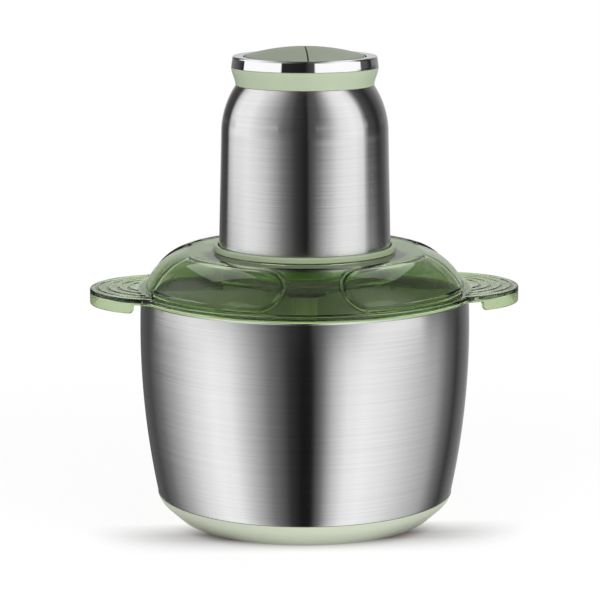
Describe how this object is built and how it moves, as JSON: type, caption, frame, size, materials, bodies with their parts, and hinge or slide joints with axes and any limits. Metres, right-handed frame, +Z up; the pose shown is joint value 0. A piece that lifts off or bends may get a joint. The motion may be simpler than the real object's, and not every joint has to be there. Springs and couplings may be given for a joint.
{
  "type": "electric food chopper",
  "caption": "Free-standing electric food chopper: steel bowl with S-shaped blades, a clear domed lid with ears and a lift-off motor head with two press buttons on top.",
  "frame": {"origin": "bottom centre of the base, where the blade axis meets the table", "axes": "+Z up along the blade axis, +X towards the right ear, the front faces -Y"},
  "size_m": [0.241, 0.1918, 0.265],
  "materials": {
    "bowl_steel": "fine horizontal brushing",
    "boot_silicone": "soft matt sage green",
    "pin_steel": "turned",
    "seal_rubber": "matt",
    "sage_plastic": "satin moulded",
    "bush_brass": "turned",
    "drive_plastic": "satin moulded",
    "blade_steel": "polished with a ground edge",
    "lid_plastic": "clear tinted, glossy",
    "gasket_silicone": "translucent silicone",
    "head_plastic": "fine moulded",
    "gear_nylon": "natural nylon",
    "screw_steel": "zinc plated",
    "motor_iron": "satin",
    "bearing_steel": "ground",
    "coil_copper": "enamelled wire",
    "carbon": "sintered",
    "board_green": "solder mask",
    "capacitor_plastic": "epoxy",
    "switch_plastic": "moulded",
    "wire_red": "insulation",
    "deck_plastic": "moulded",
    "collar_plastic": "satin moulded",
    "chrome_trim": "mirror",
    "button_plastic": "satin moulded",
    "spring_steel": "drawn wire"
  },
  "bodies": {
    "bowl": {"bowl": "bowl_steel", "base_boot": "boot_silicone", "spindle_pin": "pin_steel", "spindle_seal": "seal_rubber", "spindle_nut": "screw_steel"},
    "blade": {"blade_hub": "sage_plastic", "hub_bush": "bush_brass", "drive_cap": "drive_plastic", "lower_blade": "blade_steel", "blade_spacer": "sage_plastic", "upper_blade": "blade_steel", "blade_nut": "sage_plastic"},
    "lid": {"lid": "lid_plastic", "lid_gasket": "gasket_silicone", "hub_gasket": "seal_rubber"},
    "head": {"housing_shell": "bowl_steel", "base_plate": "head_plastic", "output_bush": "bush_brass", "ring_gear": "gear_nylon", "gearbox_screws": "screw_steel", "gearbox_cover": "motor_iron", "fan_shroud": "head_plastic", "lower_bracket": "motor_iron", "motor_bearings": "bearing_steel", "stator_core": "motor_iron", "field_coils": "coil_copper", "upper_bracket": "motor_iron", "brush_holders": "bush_brass", "carbon_brushes": "carbon", "circuit_board": "board_green", "capacitor": "capacitor_plastic", "microswitches": "switch_plastic", "board_screws": "screw_steel", "lead_wires": "wire_red", "switch_deck": "deck_plastic", "collar_ring": "collar_plastic", "chrome_band": "chrome_trim", "cord_gland": "seal_rubber", "low_speed_spring": "spring_steel", "high_speed_spring": "spring_steel"},
    "low_button": {"low_speed_button": "button_plastic"},
    "high_button": {"high_speed_button": "button_plastic"},
    "rotor": {"motor_shaft": "pin_steel", "armature": "motor_iron", "commutator": "coil_copper", "cooling_fan": "gear_nylon", "sun_gear": "bush_brass"},
    "carrier": {"planet_carrier": "motor_iron", "planet_pins": "pin_steel", "drive_coupling": "drive_plastic"},
    "planet_1": {"planet_gear_1": "gear_nylon"},
    "planet_2": {"planet_gear_2": "gear_nylon"},
    "planet_3": {"planet_gear_3": "gear_nylon"}
  },
  "joints": [
    {"name": "lid_lift", "type": "slide", "parent": "bowl", "child": "lid", "axis": [0, 0, 1], "range_m": [0, 0.15]},
    {"name": "head_lift", "type": "slide", "parent": "lid", "child": "head", "axis": [0, 0, 1], "range_m": [0, 0.1]},
    {"name": "blade_spin", "type": "hinge", "parent": "bowl", "child": "blade", "pos_m": [0, 0, 0.03], "axis": [0, 0, 1], "continuous": true},
    {"name": "carrier_spin", "type": "hinge", "parent": "head", "child": "carrier", "pos_m": [0, 0, 0.145], "axis": [0, 0, 1], "continuous": true},
    {"name": "rotor_spin", "type": "hinge", "parent": "head", "child": "rotor", "pos_m": [0, 0, 0.2], "axis": [0, 0, 1], "continuous": true},
    {"name": "low_speed_press", "type": "slide", "parent": "head", "child": "low_button", "axis": [0, 0, -1], "range_m": [0, 0.002], "stiffness_N_per_m": 400, "springref_m": -0.004, "deforming": ["low_speed_spring"]},
    {"name": "high_speed_press", "type": "slide", "parent": "head", "child": "high_button", "axis": [0, 0, -1], "range_m": [0, 0.002], "stiffness_N_per_m": 400, "springref_m": -0.004, "deforming": ["high_speed_spring"]},
    {"name": "planet_spin_1", "type": "hinge", "parent": "carrier", "child": "planet_1", "pos_m": [0, 0.0162, 0.154], "axis": [0, 0, 1], "continuous": true},
    {"name": "planet_spin_2", "type": "hinge", "parent": "carrier", "child": "planet_2", "pos_m": [-0.01403, -0.0081, 0.154], "axis": [0, 0, 1], "continuous": true},
    {"name": "planet_spin_3", "type": "hinge", "parent": "carrier", "child": "planet_3", "pos_m": [0.01403, -0.0081, 0.154], "axis": [0, 0, 1], "continuous": true}
  ],
  "couplings": [
    {"joint": "carrier_spin", "follows": "blade_spin", "ratio": 1},
    {"joint": "rotor_spin", "follows": "blade_spin", "ratio": 4},
    {"joint": "planet_spin_1", "follows": "blade_spin", "ratio": -3},
    {"joint": "planet_spin_2", "follows": "blade_spin", "ratio": -3},
    {"joint": "planet_spin_3", "follows": "blade_spin", "ratio": -3}
  ]
}
